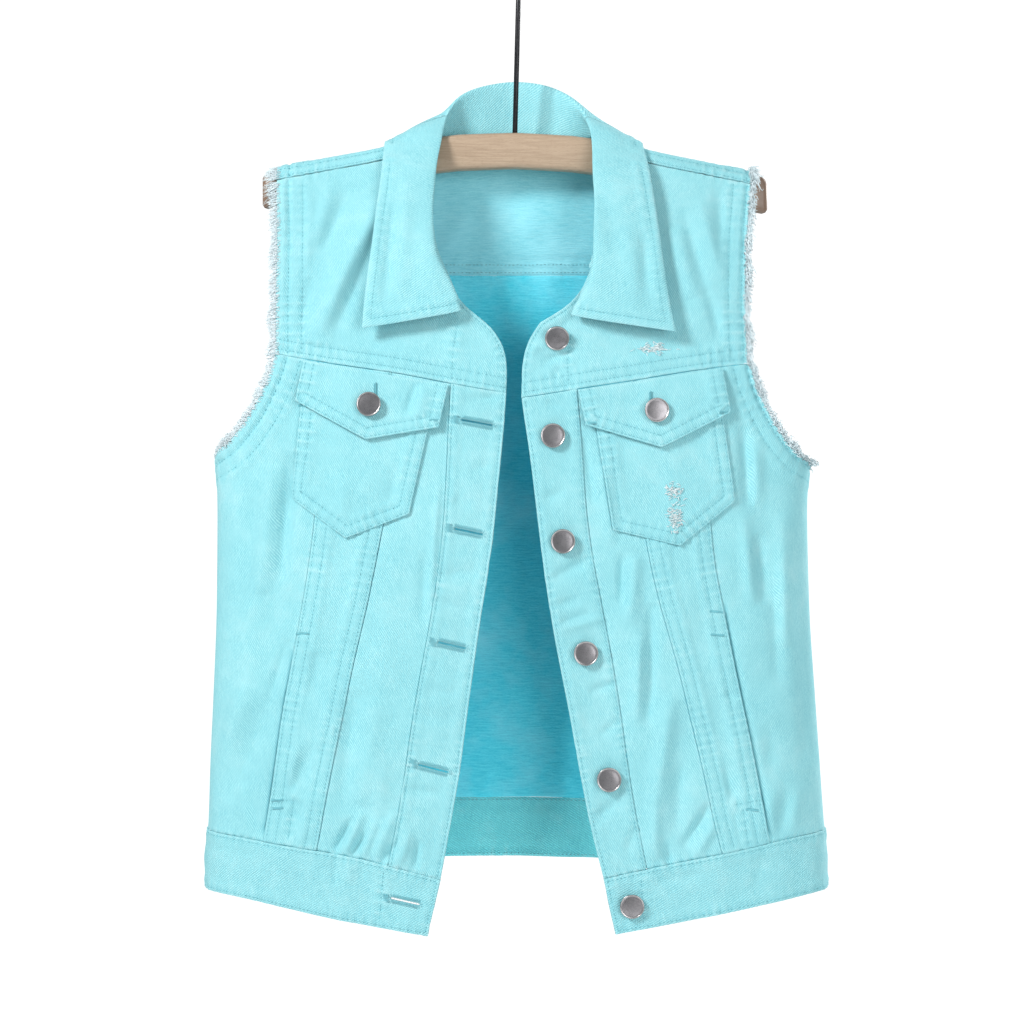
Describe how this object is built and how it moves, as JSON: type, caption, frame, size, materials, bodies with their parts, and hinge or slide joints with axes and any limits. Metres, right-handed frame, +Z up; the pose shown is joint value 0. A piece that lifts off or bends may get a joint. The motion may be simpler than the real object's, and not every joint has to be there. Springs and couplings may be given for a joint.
{
  "type": "sleeveless denim jacket on a clothes hanger",
  "caption": "Sleeveless denim jacket with collar, chest pockets, flaps and frayed armholes, open at the front, hanging on a wooden hanger with a wire hook.",
  "frame": {"origin": "middle of the hook's inner top, where it rests on a rail", "axes": "+Z up along the hook, +X to the viewer's right along the hanger, the garment's front faces -Y"},
  "size_m": [0.4677, 0.0863, 0.7642],
  "materials": {
    "denim": "washed cotton twill, matt",
    "denim_fringe": "frayed cotton threads, matt",
    "button_metal": "brushed dark nickel",
    "hanger_wood": "varnished pale beech",
    "hook_wire": "black coated wire"
  },
  "bodies": {
    "root": {"armhole_fringe_left": "denim_fringe", "armhole_fringe_right": "denim_fringe", "back_panel": "denim", "back_yoke": "denim", "collar": "denim", "front_centre_left": "denim", "front_centre_right": "denim", "front_middle_left": "denim", "front_middle_right": "denim", "front_side_left": "denim", "front_side_right": "denim", "front_yoke_left": "denim", "front_yoke_right": "denim", "placket_left": "denim", "placket_right": "denim", "pocket_flap_left": "denim", "pocket_flap_right": "denim", "pocket_left": "denim", "pocket_right": "denim", "waistband": "denim", "button_collar": "button_metal", "button_chest": "button_metal", "button_upper": "button_metal", "button_middle": "button_metal", "button_lower": "button_metal", "button_waistband": "button_metal", "button_flap_left": "button_metal", "button_flap_right": "button_metal", "hanger_arm": "hanger_wood", "hanger_hook": "hook_wire"}
  },
  "joints": []
}
